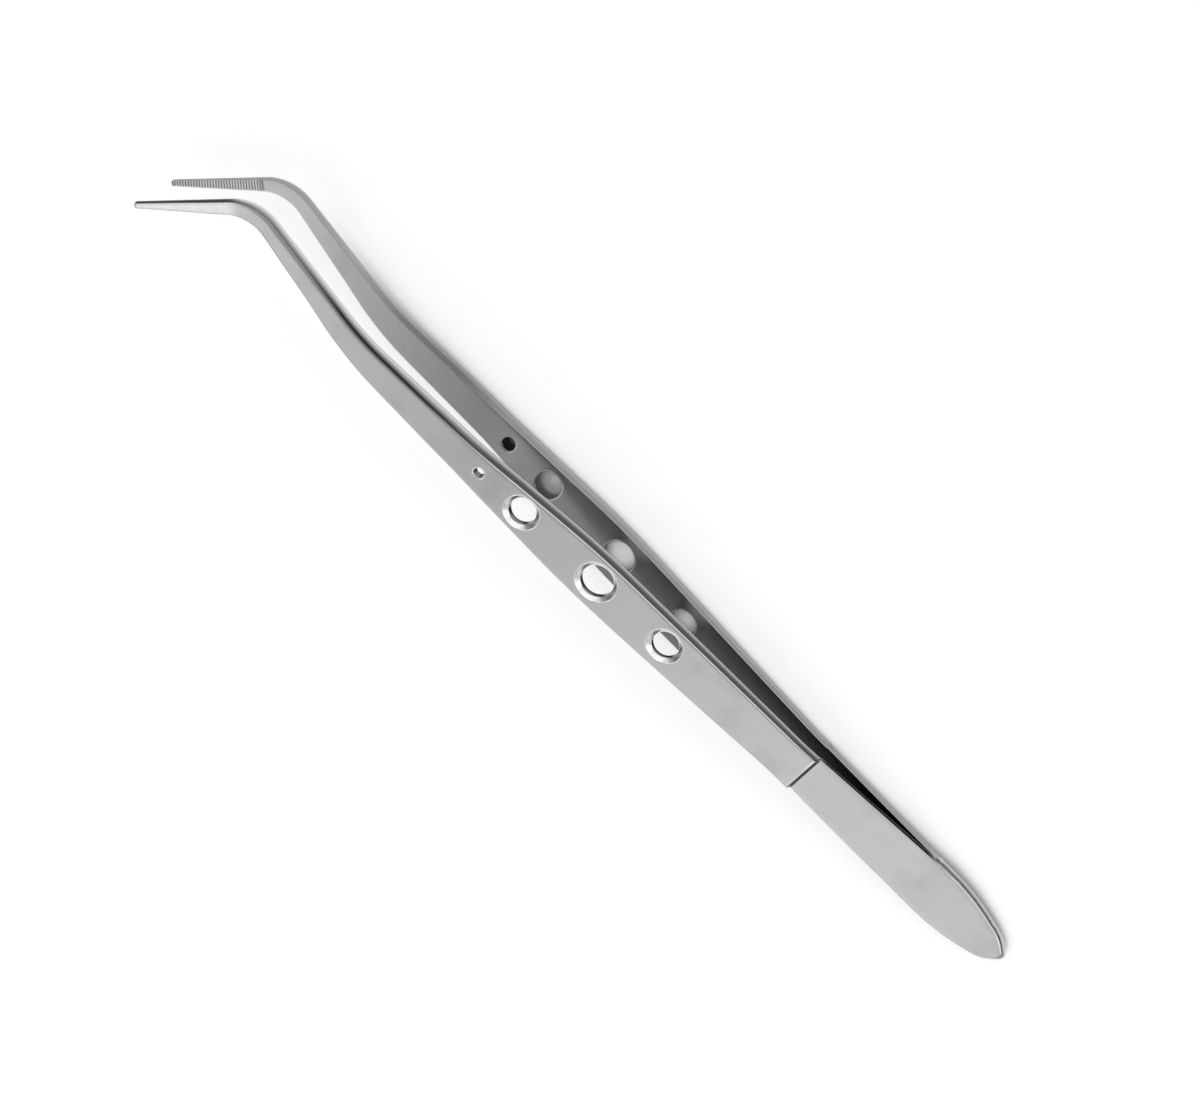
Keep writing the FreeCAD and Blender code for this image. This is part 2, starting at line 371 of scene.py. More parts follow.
def rounded_end(distance, radius):
    """How far a face sinks near an end that a quarter circle rounds: r less the circle's height."""
    reach = np.clip(1 - distance / radius, 0, 1)
    return radius * (1 - np.sqrt(1 - reach**2))


def blunted_nose(plan):
    """Tumbling wears 0.07 mm off the heel's point: x grows by 0.07 exp(-(x - x0) / 0.8)."""
    worn_off = 0.07 * np.exp(-np.maximum(plan[..., 0] - nose_x, 0) / 0.8)
    return plan + worn_off[..., None] * [1.0, 0.0]


def blank_sections(shift, top_is_outer):
    """Row k, column j is point j of section k. From the left edge, a corner point lies in by
    sag + r (cos a0 - cos a) and down by r (1 - sin a), and a side point in by sag (2 h - 1)^2.
    _o is the outer face and _i the inner one."""
    centres, turns, grooves = station_lines(shift)
    zeros = np.zeros(len(straight_outer_x))
    outer_c = np.concatenate([np.stack([straight_outer_x, zeros], 1), centres])
    inner_c = np.concatenate([np.stack([straight_inner_x, zeros], 1), centres])
    turns = np.concatenate([zeros, turns])
    grooves = np.concatenate([zeros, grooves])[:, None]
    bent = (turns > 0)[:, None]
    left_o, right_o = crossings(left_edge, outer_c, turns), crossings(right_edge, outer_c, turns)
    left_i, right_i = crossings(left_edge, inner_c, turns), crossings(right_edge, inner_c, turns)
    z_o = np.concatenate([straight_outer_z, outer_z(centres[:, 0])])
    z_i = inner_z(inner_c[:, 0])
    from_tip = (jaw_end - outer_c) @ jaw_way
    z_o = z_o - rounded_end(outer_c[:, 0] - nose_x, nose_edge)
    z_o = z_o - rounded_end(from_tip, outer_tip_edge)
    z_i = z_i + rounded_end(from_tip, inner_tip_edge)
    thick = z_o - z_i
    wide = np.hypot(*(right_o - left_o).T)
    swell = np.interp(outer_c[:, 0], *left_swell)[:, None] * (left_o - right_o) / wide[:, None]
    swell = swell * (1.0 if top_is_outer else far_swell)
    left_o, left_i = left_o + swell, left_i + swell
    right_rounding = edge_rounding if top_is_outer else far_rounding
    r_o, l_o = (np.minimum.reduce([np.interp(outer_c[:, 0], *run), 0.52 * thick, 0.42 * wide])
                for run in (right_rounding, left_rounding))
    r_i = np.minimum.reduce([np.full(len(thick), inner_edge), 0.2 * thick, 0.3 * wide])
    in_heel = np.clip((throat_x - 0.3 - outer_c[:, 0]) / 0.8, 0, 1)
    r_i = r_i + in_heel * (np.minimum(weld_groove, 0.4 * wide) - r_i)
    sag, left_sag = (np.maximum(thick - (r + r_i) * (1 - math.sin(crown_angle)), 0.02)
                     * math.tan(crown_angle) / 4 for r in (r_o, l_o))

    def placed(left, right, inset, drop, z, slope_of, from_left):
        """Plan points inset from one edge, and their heights, which follow the face's slope."""
        across = (right - left) / np.hypot(*(right - left).T)[:, None]
        base, way = (left, across) if from_left else (right, -across)
        plan = base[:, None] + way[:, None] * inset[:, :, None]
        level = z[:, None] + np.where(bent, slope_of(plan[:, :, 0]) - slope_of(centre_x), 0)
        return plan, level + drop

    centre_x = outer_c[:, :1]
    arc_in = np.cos(crown_angle) - np.cos(corner_turn)
    arc_down = 1 - np.sin(corner_turn)

    def corner(inside, from_left):
        left, right, z = (left_i, right_i, z_i) if inside else (left_o, right_o, z_o)
        sign, slope_of = (1, inner_z) if inside else (-1, outer_z)
        radius = r_i if inside else l_o if from_left else r_o
        inset = (left_sag if from_left else sag)[:, None] + radius[:, None] * arc_in
        drop = sign * radius[:, None] * arc_down
        return placed(left, right, inset, drop, z, slope_of, from_left)

    def face(inside):
        (a, az), (b, bz) = corner(inside, True), corner(inside, False)
        a, b, az, bz = a[:, -1:], b[:, -1:], az[:, -1:], bz[:, -1:]
        plan = a + (b - a) * face_share[None, :, None]
        return plan, az + (bz - az) * face_share

    def side(from_left):
        (a, az), (b, bz) = corner(False, from_left), corner(True, from_left)
        edge_o, edge_i = (left_o, left_i) if from_left else (right_o, right_i)
        across = (right_o - left_o) / wide[:, None] * (1 if from_left else -1)
        inset = (left_sag if from_left else sag)[:, None] * (2 * side_share - 1) ** 2
        plan = edge_o[:, None] + (edge_i - edge_o)[:, None] * side_share[None, :, None]
        plan = plan + across[:, None] * inset[:, :, None]
        return plan, az[:, :1] + (bz[:, :1] - az[:, :1]) * side_share

    all_of, back = slice(None), slice(None, None, -1)
    short, short_back = slice(-1), slice(-2, None, -1)
    parts = [
        (face(False), all_of), (corner(False, False), short_back), (side(False), all_of),
        (corner(True, False), short), (face(True), back), (corner(True, True), short_back),
        (side(True), back), (corner(False, True), short),
    ]
    plan = np.concatenate([plan[:, order] for (plan, _), order in parts], 1)
    level = np.concatenate([level[:, order] for (_, level), order in parts], 1)
    floor_level = z_i[:, None] + np.where(bent, inner_z(plan[:, :, 0]) - inner_z(centre_x), 0)
    level = np.where(grooves > 0, np.maximum(level, floor_level + grooves), level)
    plan = blunted_nose(plan) - jaw_way * 0.05 * np.exp(-np.abs(from_tip) / 0.5)[:, None, None]
    return np.dstack([plan, level])


section_parts = {
    "outer face": columns + 1, "right outer corner": corner_steps,
    "right side": side_steps - 1, "right inner corner": corner_steps,
    "inner face": columns + 1, "left inner corner": corner_steps,
    "left side": side_steps - 1, "left outer corner": corner_steps,
}
ends = np.cumsum(list(section_parts.values())).tolist()
part_of_section = {name: slice(end - section_parts[name], end)
                   for name, end in zip(section_parts, ends)}
trial = blank_sections(0.0, True)
print("sections", trial.shape, "widest %.2f mm" % np.ptp(trial[:, :, 1]))

# %% [markdown]
# ## Holes and ends
#
# A hole through a grid is a sleeve of rings: the first ring is the square of mesh edges round the
# hole on the outer face, the next ones turn from square to round, then come the countersink and
# the bore, and at the inner face the rings turn square again. Every face stays a quad. A boolean
# cut would be quicker to write, but it leaves slivers that show as dents in polished metal.

# %% The sleeve of rings that makes a hole
hole_sizes = {"rear": (3.8, 5.05), "middle": (4.6, 5.8), "front": (3.8, 5.05)}
near_flare, far_flare = 0.75, 0.08
flare_steps = ((0.0, 1.0), (0.7, 0.3), (0.94, 0.07), (1.1, 0.0))
ease_steps = (0.3, 0.62, 0.86)
ring_angle = np.radians(135 + np.arange(4 * columns) * 90 / columns)
face_normal = np.array([-handle_slope, 0, 1]) / math.hypot(handle_slope, 1)
face_along = np.array([face_normal[2], 0, -face_normal[0]])


def square_ring(part, rows, width):
    """Vertex numbers round a hole on one face: across the first station from left to right, along
    the right side, back across the last station, and back along the left side."""
    across = np.arange(part_of_section[part].start, part_of_section[part].stop)
    if part == "inner face":
        across = across[::-1]
    low, high = rows
    along = np.arange(low, high)
    return np.concatenate([
        low * width + across[:-1], along * width + across[-1],
        high * width + across[:0:-1], along[::-1] * width + width + across[0],
    ])


def hidden_share(x):
    """How much an inner face at x lies in the other arm's shade: all at the heel."""
    return np.interp(x, [36, 92, 125, 138], [1.0, 0.9, 0.35, 0.0])


def sleeve(x, bore, sink, flare, around_outer, around_inner):
    """Rings of (angle) x (step down the hole). A ring at radius p and depth d lies at
    centre + p (cos a e1 + sin a e2) - d n. The bore's last rings flare out to the inner face: out
    by s flare and up from the face by t flare, with (s, t) from flare_steps. At both faces three
    rings ease from the square of mesh edges to the circle. Each ring has its shares."""
    centre = np.array([x, 0, float(outer_z(x))])
    circle = np.cos(ring_angle)[:, None] * face_along + np.sin(ring_angle)[:, None] * [0, 1, 0]
    cone = (sink - bore) / 2
    rim, lip = sink / 2, bore / 2
    steps = [(rim + 0.1, 0.0), (rim + 0.03, 0.006), (rim - 0.03, 0.036), (rim - 0.07, 0.075)]
    if cone > 0.2:
        steps += [(rim - cone * s, cone * s) for s in (0.4, 0.7)]
        steps += [(lip + 0.05, cone - 0.05), (lip + 0.01, cone)]
    steps += [(lip, max(cone, 0.07) + 0.06)]
    rings = [centre + radius * circle - depth * face_normal for radius, depth in steps]
    for out, lift in flare_steps:
        ring = centre + (lip + out * flare) * circle
        down = np.full(len(ring), 1.5)
        for _ in range(4):
            down = (ring[:, 2] - inner_z(ring[:, 0] - down * face_normal[0])) / face_normal[2]
        rings.append(ring - (down[:, None] - lift * flare) * face_normal)
    rings[0][:, 2] = outer_z(rings[0][:, 0])
    before = [around_outer * (1 - t) + rings[0] * t for t in ease_steps]
    after = [rings[-1] * t + around_inner * (1 - t) for t in ease_steps[::-1]]
    # Cutter's finish on countersink and bore; its lighter colour is partly a painted floor
    # reflection.
    machined_and_reflection = np.array([0.0] * 3 + [0.3] + [1.0] * (len(rings) - 6) + [0.5] + [0.0] * 7)
    bore_rings, last_rings = slice(-8, -4), slice(-4, None)
    # Painted shade deep in the bore, in the dark colour and in the inner face's shade colour.
    painted_shade, inner = np.zeros(len(machined_and_reflection)), np.zeros(len(machined_and_reflection))
    painted_shade[bore_rings] = 0.5
    inner[bore_rings], inner[last_rings] = 1.0, hidden_share(x)
    return np.stack(before + rings + after), {"machined_and_reflection": machined_and_reflection, "painted_shade": painted_shade, "inner": inner}


print("finger holes, bore and countersink in mm", hole_sizes)

# %% [markdown]
# ## Closing the ends, and the wear, painted shade and painted highlights on the steel
#
# The tube of sections is still open at the nose and at the jaw's end, so a small grid caps each.
# Every point gets five shares between 0 and 1 for the steel's material: one for edges polished
# by tumbling, which also paints highlights where a side or face should catch a light; one for
# the countersinks' cutter finish, whose lighter colour is partly a painted reflection of the
# white floor; one for the ground sides; one for the face in the other arm's shade, painted
# darker; and a painted shade, for the dark line that a side mirrors from the unlit studio and
# for the shade on the shoulder's wall, in the serrations' roots, in the bores and at the ends.

# %% Close the ends and join everything
def grid_quads(numbers):
    """Quads between neighbouring rows and columns of an array of vertex numbers."""
    a, b = numbers[:-1, :-1], numbers[:-1, 1:]
    c, d = numbers[1:, 1:], numbers[1:, :-1]
    return np.stack([a, b, c, d], -1).reshape(-1, 4)


def end_cap(row, width, points):
    """A grid across an end: each column runs straight from the outer chain to the inner chain.
    The chains and the two sides are there already, so only the inside points are new."""
    def chain(*names):
        return np.concatenate([np.arange(part_of_section[name].start, part_of_section[name].stop)
                               for name in names])
    top = chain("left outer corner", "outer face", "right outer corner") + row * width
    bottom = (chain("right inner corner", "inner face", "left inner corner") + row * width)[::-1]
    left = (chain("left side") + row * width)[::-1]
    right = chain("right side") + row * width
    share = side_share[:, None, None]
    inside = points[top[1:-1]] * (1 - share) + points[bottom[1:-1]] * share
    numbers = len(points) + np.arange(inside.shape[0] * inside.shape[1]).reshape(inside.shape[:2])
    middle = np.concatenate([left[:, None], numbers, right[:, None]], 1)
    return inside.reshape(-1, 3), np.concatenate([top[None], middle, bottom[None]])


# %% How far each column of a section is tilted, and the five shares
rise = np.degrees(corner_turn)
side_tilt = 90 - math.degrees(crown_angle) * (1 - 2 * side_share)
column_tilt = np.concatenate([
    np.zeros(columns + 1), 90 - rise[-2::-1], side_tilt, 90 + rise[:-1],
    np.full(columns + 1, 180.0), 90 + rise[-2::-1], side_tilt[::-1], 90 - rise[:-1],
])
column_wear = np.zeros(len(column_tilt))
wear = np.sin((corner_turn - crown_angle) / (math.pi / 2 - crown_angle) * math.pi)
for corner_name in ("left outer corner", "right inner corner"):
    column_wear[part_of_section[corner_name]] = wear[:-1]
for corner_name in ("right outer corner", "left inner corner"):
    column_wear[part_of_section[corner_name]] = wear[-2::-1]
outer_face, inner_face = part_of_section["outer face"], part_of_section["inner face"]
right_side, right_inner = part_of_section["right side"], part_of_section["right inner corner"]
right_half = slice(outer_face.stop, inner_face.start)
left_half = slice(inner_face.stop, len(column_tilt))


def upper_arm_shades(along, painted_shade, wear_and_highlight):
    """The near arm: painted shade on the leaf's sides and the left side, and painted highlights on
    the lower right side below the dark line and on the heel's right side.
    """
    shown = np.interp(along, [12, 18, 97, 106, 122, 130, 138, 144],
                      [0.05, 0.86, 0.86, 0.98, 0.98, 0.72, 0.65, 1])[:, None]
    leaf = np.interp(along, [15.5, 17, 35.5, 36.5], [0, 1, 1, 0])[:, None]
    # Painted shade on the leaf's sides, and below on the whole left side.
    leaf_side = np.clip((column_tilt - 50) / 20, 0, 1) * (column_tilt < 175)
    painted_shade = painted_shade * shown * (1 - leaf) + leaf_side * leaf
    painted_shade[:, left_half] = 0.9 * np.clip((column_tilt[left_half] - 10) / 20, 0, 1)
    # Painted highlight on the lower part of the right side, stronger towards the jaw.
    side_highlight = np.interp(along, [36, 40, 98, 112], [0, 0.4, 0.5, 0.95])[:, None]
    for part in (right_side, right_inner):
        low = np.clip((column_tilt[part] - 84) / 18, 0, 1)
        wear_and_highlight[:, part] = np.maximum(wear_and_highlight[:, part], side_highlight * low)
    # Painted highlight on the heel's right side.
    heel = np.interp(along, [15.3, 16.3], [0.8, 0])[:, None]
    wear_and_highlight[:, right_half] = np.maximum(wear_and_highlight[:, right_half], heel)
    return painted_shade, wear_and_highlight


def lower_arm_shades(along, painted_shade, wear_and_highlight):
    """The far arm: a weaker painted shade, strongest behind the bend, and only a quarter of the
    lighter edge colour on its right inner corner.
    """
    shown = np.interp(along, [0, 15, 18, 97, 106, 116, 126, 142],
                      [0, 0.1, 0.45, 0.45, 0.7, 0.65, 0.3, 0.4])[:, None]
    # The far arm's right inner corner keeps only a quarter of its lighter edge colour.
    wear_and_highlight[:, right_inner] *= 0.25
    return painted_shade * shown, wear_and_highlight


def section_shares(sections, shift, top_is_outer):
    """The shares on the points of the sections. The painted shade lies between two tilts, counted
    from straight up, and fades over 20 degrees; on the sides it paints the dark of the unlit
    studio that they mirror. It also paints shade on the shoulder's wall, the jaw's edges, the
    serrations' roots and the jaw's end, and painted highlights lie on the shoulder's crest and
    the jaw's outer face."""
    along = sections[:, 0, 0]
    wear_and_highlight = np.tile(column_wear, (len(along), 1))
    from_up = column_tilt if top_is_outer else 180 - column_tilt
    first = np.interp(along, [90, 105], [42, 18])[:, None]
    last = np.interp(along, [90, 106], [104, 90 if top_is_outer else 112])[:, None]
    painted_shade = np.clip((from_up - first) / 20, 0, 1) * np.clip((last - from_up) / 22, 0, 1)
    shade_arm = upper_arm_shades if top_is_outer else lower_arm_shades
    painted_shade, wear_and_highlight = shade_arm(along, painted_shade, wear_and_highlight)
    # Painted shade on the shoulder's wall, and a painted highlight on its crest, strongest at the
    # right.
    painted_shade[wall_rows, outer_face] = 0.85 * wall_shade[:, None]
    right_end = 0.3 + 0.7 * np.clip((face_share - 0.55) / 0.4, 0, 1)
    wear_and_highlight[wall_rows, outer_face] = crest_highlight[:, None] * right_end
    jaw = np.clip((along - bend_x - 0.5) / 1.5, 0, 1)[:, None]
    # Painted dark line along the jaw's edges.
    jaw_edge_shade = np.clip((column_tilt - 40) / 15, 0, 1) * (column_tilt < 150)
    painted_shade = painted_shade * (1 - jaw) + jaw_edge_shade * (1.0 if top_is_outer else 0.4) * jaw
    grooved = np.concatenate([np.zeros(len(straight_outer_x)), station_lines(shift)[2]])
    # Painted shade in the serrations' roots.
    roots = 0.55 * grooved[:, None] / serration_depth
    painted_shade[:, inner_face] = np.maximum(painted_shade[:, inner_face], roots)
    # Painted highlight on the jaw's outer face.
    wear_and_highlight[:, outer_face] += 0.5 * jaw
    # Painted shade over the last half millimetre of the jaw.
    from_tip = (jaw_end - sections[:, 0, :2]) @ jaw_way
    painted_shade = np.maximum(painted_shade, 0.7 * np.clip(1 - from_tip / 0.5, 0, 1)[:, None])
    flank = np.tile(np.minimum(1, column_tilt / 40), (len(along), 1))
    flank[:, inner_face] = 0.0
    inner = np.zeros(wear_and_highlight.shape)
    inner[:, inner_face] = hidden_share(along)[:, None]
    for corner_name in ("left inner corner", "right inner corner"):
        inner[:, part_of_section[corner_name]] = 0.6 * hidden_share(along)[:, None]
    shares = {"wear_and_highlight": wear_and_highlight, "machined_and_reflection": np.zeros(wear_and_highlight.shape), "flank": flank, "inner": inner,
              "painted_shade": painted_shade}
    return {name: values.reshape(-1) for name, values in shares.items()}


print("tilts of a section's columns", column_tilt.round().astype(int).tolist())

# %% [markdown]
# The blank is the tube of sections, with a sleeve in place of the faces at each hole, and caps.

# %% The whole blank as arrays
# The caps at the nose and the jaw's end are sides with half the painted shade.
cap_shares = {"flank": 1.0, "painted_shade": 0.5}


def longer_shares(shares, extra, count):
    """Every share with count more values at its end: the ones in extra, or else zero."""
    return {name: np.concatenate([values, np.broadcast_to(extra.get(name, 0.0), count)])
            for name, values in shares.items()}


def blank_arrays(guide_bore, shift, top_is_outer):
    """Points, a list of arrays of quads, and the five shares of a whole blank."""
    sections = blank_sections(shift, top_is_outer)
    rows, width = sections.shape[:2]
    points = sections.reshape(-1, 3)
    numbers = np.arange(rows * width).reshape(rows, width)
    quads = grid_quads(np.concatenate([numbers, numbers[:, :1]], 1)).reshape(rows - 1, width, 4)
    keep = np.ones((rows - 1, width), bool)
    shares = section_shares(sections, shift, top_is_outer)
    flare = near_flare if top_is_outer else far_flare
    faces = []
    for name, place in hole_places.items():
        bore, sink = hole_sizes.get(name, (guide_bore, guide_bore + 0.06))
        for part in (outer_face, inner_face):
            keep[slice(*hole_rows[name]), part.start: part.stop - 1] = False
        outer_ring, inner_ring = (square_ring(part, hole_rows[name], width)
                                  for part in ("outer face", "inner face"))
        rings, new_shares = sleeve(place, bore, sink, flare, points[outer_ring], points[inner_ring])
        deep, around = rings.shape[:2]
        fresh = len(points) + np.arange(deep * around).reshape(deep, around)
        ring_numbers = np.concatenate([outer_ring[None], fresh, inner_ring[None]])
        faces.append(grid_quads(np.concatenate([ring_numbers, ring_numbers[:, :1]], 1)))
        points = np.concatenate([points, rings.reshape(-1, 3)])
        new_shares = {key: np.repeat(values, around) for key, values in new_shares.items()}
        shares = longer_shares(shares, new_shares, deep * around)
    faces.insert(0, quads[keep])
    for row in (0, rows - 1):
        inside, cap = end_cap(row, width, points)
        faces.append(grid_quads(cap))
        points = np.concatenate([points, inside])
        shares = longer_shares(shares, cap_shares, len(inside))
    return points, faces, shares


# %% [markdown]
# ## Laying the pliers down
#
# The solid model is laid on the flat outer face of the lower handle, so the same shift and the
# same small turn about the y axis bring these points into the row's frame. Blender works in
# metres. The mesh then gets its attributes, loses points without a face, and is turned outwards.

# %% From the middle plane to the table, in metres
rest_x = (rear_hole_x + middle_hole_x) / 2
contact = np.array([rest_x, 0, -(shoulder_top + (rest_x - shoulder_x) * handle_slope)])
handle_tilt = math.atan(handle_slope)
laid = np.array([
    [math.cos(handle_tilt), 0, -math.sin(handle_tilt)],
    [0, 1, 0],
    [math.sin(handle_tilt), 0, math.cos(handle_tilt)],
])


def laid_down(points):
    """Shift the contact point to the origin, turn by the handle's tilt, and go to metres."""
    return (np.asarray(points, float) - contact) @ laid.T / 1000


def mesh_piece(name, points, faces, shares):
    """An object at the origin from whole arrays, with one float attribute for each share. Faces
    are a list of arrays, each of quads or of triangles."""
    mesh = bpy.data.meshes.new(name)
    mesh.from_pydata(points.tolist(), [], [face for group in faces for face in group.tolist()])
    for key, values in shares.items():
        layer = mesh.attributes.new(key, "FLOAT", "POINT")
        layer.data.foreach_set("value", values.astype(np.float32))
    work = bmesh.new()
    work.from_mesh(mesh)
    loose = [v for v in work.verts if not v.link_faces]
    bmesh.ops.delete(work, geom=loose, context="VERTS")
    bmesh.ops.recalc_face_normals(work, faces=work.faces)
    open_edges = sum(1 for e in work.edges if len(e.link_faces) != 2)
    volume = work.calc_volume() * 1e9
    work.to_mesh(mesh)
    work.free()
    mesh.shade_smooth()
    mesh.set_sharp_from_angle(angle=math.radians(34))
    piece = bpy.data.objects.new(name, mesh)
    bpy.context.scene.collection.objects.link(piece)
    even = piece.modifiers.new("Face-weighted shading", "WEIGHTED_NORMAL")
    even.keep_sharp = True
    print(name, "vertices", len(mesh.vertices), "faces", len(mesh.polygons),
          "open edges", open_edges, "volume %.1f mm3" % volume)
    return piece


# %% [markdown]
# The lower blank is the upper one mirrored, with a larger guide hole, serrations half a pitch out
# of step, a rounder right edge and straighter holes.

# %% Make the two blanks
upper_points, upper_faces, upper_shares = blank_arrays(1.55, 0.0, True)
lower_points, lower_faces, lower_shares = blank_arrays(1.9, serration_pitch / 2, False)
lower_points = lower_points * [1, 1, -1]
upper_blank = mesh_piece("upper_blank", laid_down(upper_points), upper_faces, upper_shares)
lower_blank = mesh_piece("lower_blank", laid_down(lower_points), lower_faces, lower_shares)
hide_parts("upper_arm", "heel_upper_half")
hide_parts("lower_arm", "heel_lower_half")

# %% [markdown]
# ## The weld round the heel
#
# Each half of the heel is eased along the seam, and a run of weld fills the groove and is ground
# flush. It is carried along the heel's own outline as a low oval, a little lumpy along its length,
# with a small proud bead where it ends at each side of the throat.

# %% Carry the weld's oval round the heel
weld_step = 0.16
weld_around = 16
seam_end_x = throat_x - 0.15
rising = 90


def heel_seam(step):
    """Points round the heel's outline from the right of the throat, round the nose, to the left,
    evenly spaced, with the sideways direction out of the metal at each."""
    right = right_edge[right_edge[:, 0] < seam_end_x][::-1]
    left = left_edge[left_edge[:, 0] < seam_end_x][1:]
    right_y, left_y = (np.interp(throat_x, *edge[:rising].T) for edge in (right_edge, left_edge))
    path = np.concatenate([[[seam_end_x, right_y]], right, left, [[seam_end_x, left_y]]])
    far = np.concatenate([[0], np.cumsum(np.hypot(*np.diff(path, axis=0).T))])
    even = np.linspace(0, far[-1], int(far[-1] / step) + 1)
    even = np.stack([np.interp(even, far, path[:, 0]), np.interp(even, far, path[:, 1])], 1)
    way = np.gradient(even, axis=0)
    way /= np.hypot(*way.T)[:, None]
    return even, np.stack([way[:, 1], -way[:, 0]], 1)


def weld_arrays():
    """An oval at each seam point: out by a cos u and up by b sin u, with a and b swelling gently
    along the run and closing to a rounded end at each side of the throat."""
    seam, out = heel_seam(weld_step)
    far = np.linspace(0, 1, len(seam))
    length = len(seam) * weld_step
    from_end = np.minimum(far, 1 - far) * length
    close = np.sqrt(1 - np.clip(1 - from_end / 0.35, 0, 1) ** 2) + 0.02
    bead = np.exp(-((from_end - 0.45) / 0.3) ** 2)
    ripple = np.sin(far * length * 5.1) * 0.008 + np.sin(far * length * 2.3 + 1) * 0.01
    depth = (0.2 + 0.05 * bead + ripple) * close
    height = (0.27 + 0.1 * bead + ripple) * close
    turn = np.linspace(0, 2 * math.pi, weld_around + 1)[:-1]
    inset = 0.22 - 0.06 * bead
    side = depth[:, None] * np.cos(turn) - inset[:, None]
    plan = blunted_nose(seam[:, None] + out[:, None] * side[:, :, None])
    level = height[:, None] * np.sin(turn)
    points = np.dstack([plan, level]).reshape(-1, 3)
    numbers = np.arange(len(points)).reshape(len(seam), weld_around)
    faces = [grid_quads(np.concatenate([numbers, numbers[:, :1]], 1))]
    for ring in (numbers[0], numbers[-1]):
        pole = np.full(weld_around, len(points))
        points = np.concatenate([points, points[ring].mean(0)[None]])
        faces.append(np.stack([ring, np.roll(ring, -1), pole], 1))
    return points, faces


weld_points, weld_faces = weld_arrays()
weld_share = {name: np.zeros(len(weld_points)) for name in ("wear_and_highlight", "machined_and_reflection", "inner", "painted_shade")}
weld_share["flank"] = np.ones(len(weld_points))
weld = mesh_piece("heel_weld_run", laid_down(weld_points), weld_faces, weld_share)
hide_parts("heel_weld")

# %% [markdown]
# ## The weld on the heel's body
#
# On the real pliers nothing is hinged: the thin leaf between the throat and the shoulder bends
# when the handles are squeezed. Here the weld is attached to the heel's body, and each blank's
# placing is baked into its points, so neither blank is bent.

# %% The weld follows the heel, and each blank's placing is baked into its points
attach(weld, "heel")
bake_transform(upper_blank)
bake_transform(lower_blank)

# %% [markdown]
# ## Satin stainless steel
#
# Martensitic stainless steel, ground and then blasted with fine glass beads: a soft grey metal
# with no grain direction, whose reflections are wide and even. Handling leaves faint cloudy
# smudges. The edges are tumbled and a little brighter, and further highlights are painted on
# where a side or face should catch a light. The sides are ground on a belt, and the dark line
# along them is painted shade for the unlit studio they mirror. The countersinks keep the shine
# of the cutter, and their lighter colour is partly a painted reflection of the white floor. The
# beads' dimples are about 0.05 mm, too fine to show, so the bump is drawn at 0.12 mm.

# %% Helpers for colours and nodes
def linear(text):
    """The linear colour of an sRGB hex value: c / 12.92 below 0.04045, else a power of 2.4."""
    srgb = np.array([int(text[i: i + 2], 16) for i in (1, 3, 5)]) / 255
    low, high = srgb / 12.92, ((srgb + 0.055) / 1.055) ** 2.4
    return (*np.where(srgb <= 0.04045, low, high).tolist(), 1.0)


def add(tree, kind, settings=(), **links):
    """One node, with its settings and its incoming links. A setting is a property of the node or
    the value of a socket, by its name or number. A link's name is the socket's, with _ for a
    space, or i and the socket's number."""
    node = tree.nodes.new(kind)
    for key, value in dict(settings).items():
        if isinstance(key, int) or key in node.inputs:
            node.inputs[key].default_value = value
        else:
            setattr(node, key, value)
    for key, source in links.items():
        by_number = key[0] == "i" and key[1:].isdigit()
        socket = node.inputs[int(key[1:]) if by_number else key.replace("_", " ")]
        tree.links.new(source, socket)
    return node


def new_material(name):
    """An empty node material and its tree."""
    material = bpy.data.materials.new(name)
    material.use_nodes = True
    material.node_tree.nodes.clear()
    return material, material.node_tree


# %% [markdown]
# The colour starts at the face's and is mixed towards another one by each share in turn, the
# painted shade last. Roughness falls where the metal is worn or a highlight is painted, where it
# is machined, or in shade. The noises are in cells per metre, with the size of a cell beside each.

# %% The steel's nodes
noises = {
    "smudges, 7 mm": (140.0, 3.0, 0.55),
    "clouds, 1.1 mm": (900.0, 4.0, 0.6),
    "beads, 0.12 mm": (8000.0, 2.0, 0.6),
}
# The smudges' colour, and the near-black of the painted shade.
smudge_hex, painted_shade_hex = "#6f6e6b", "#1b1b1a"


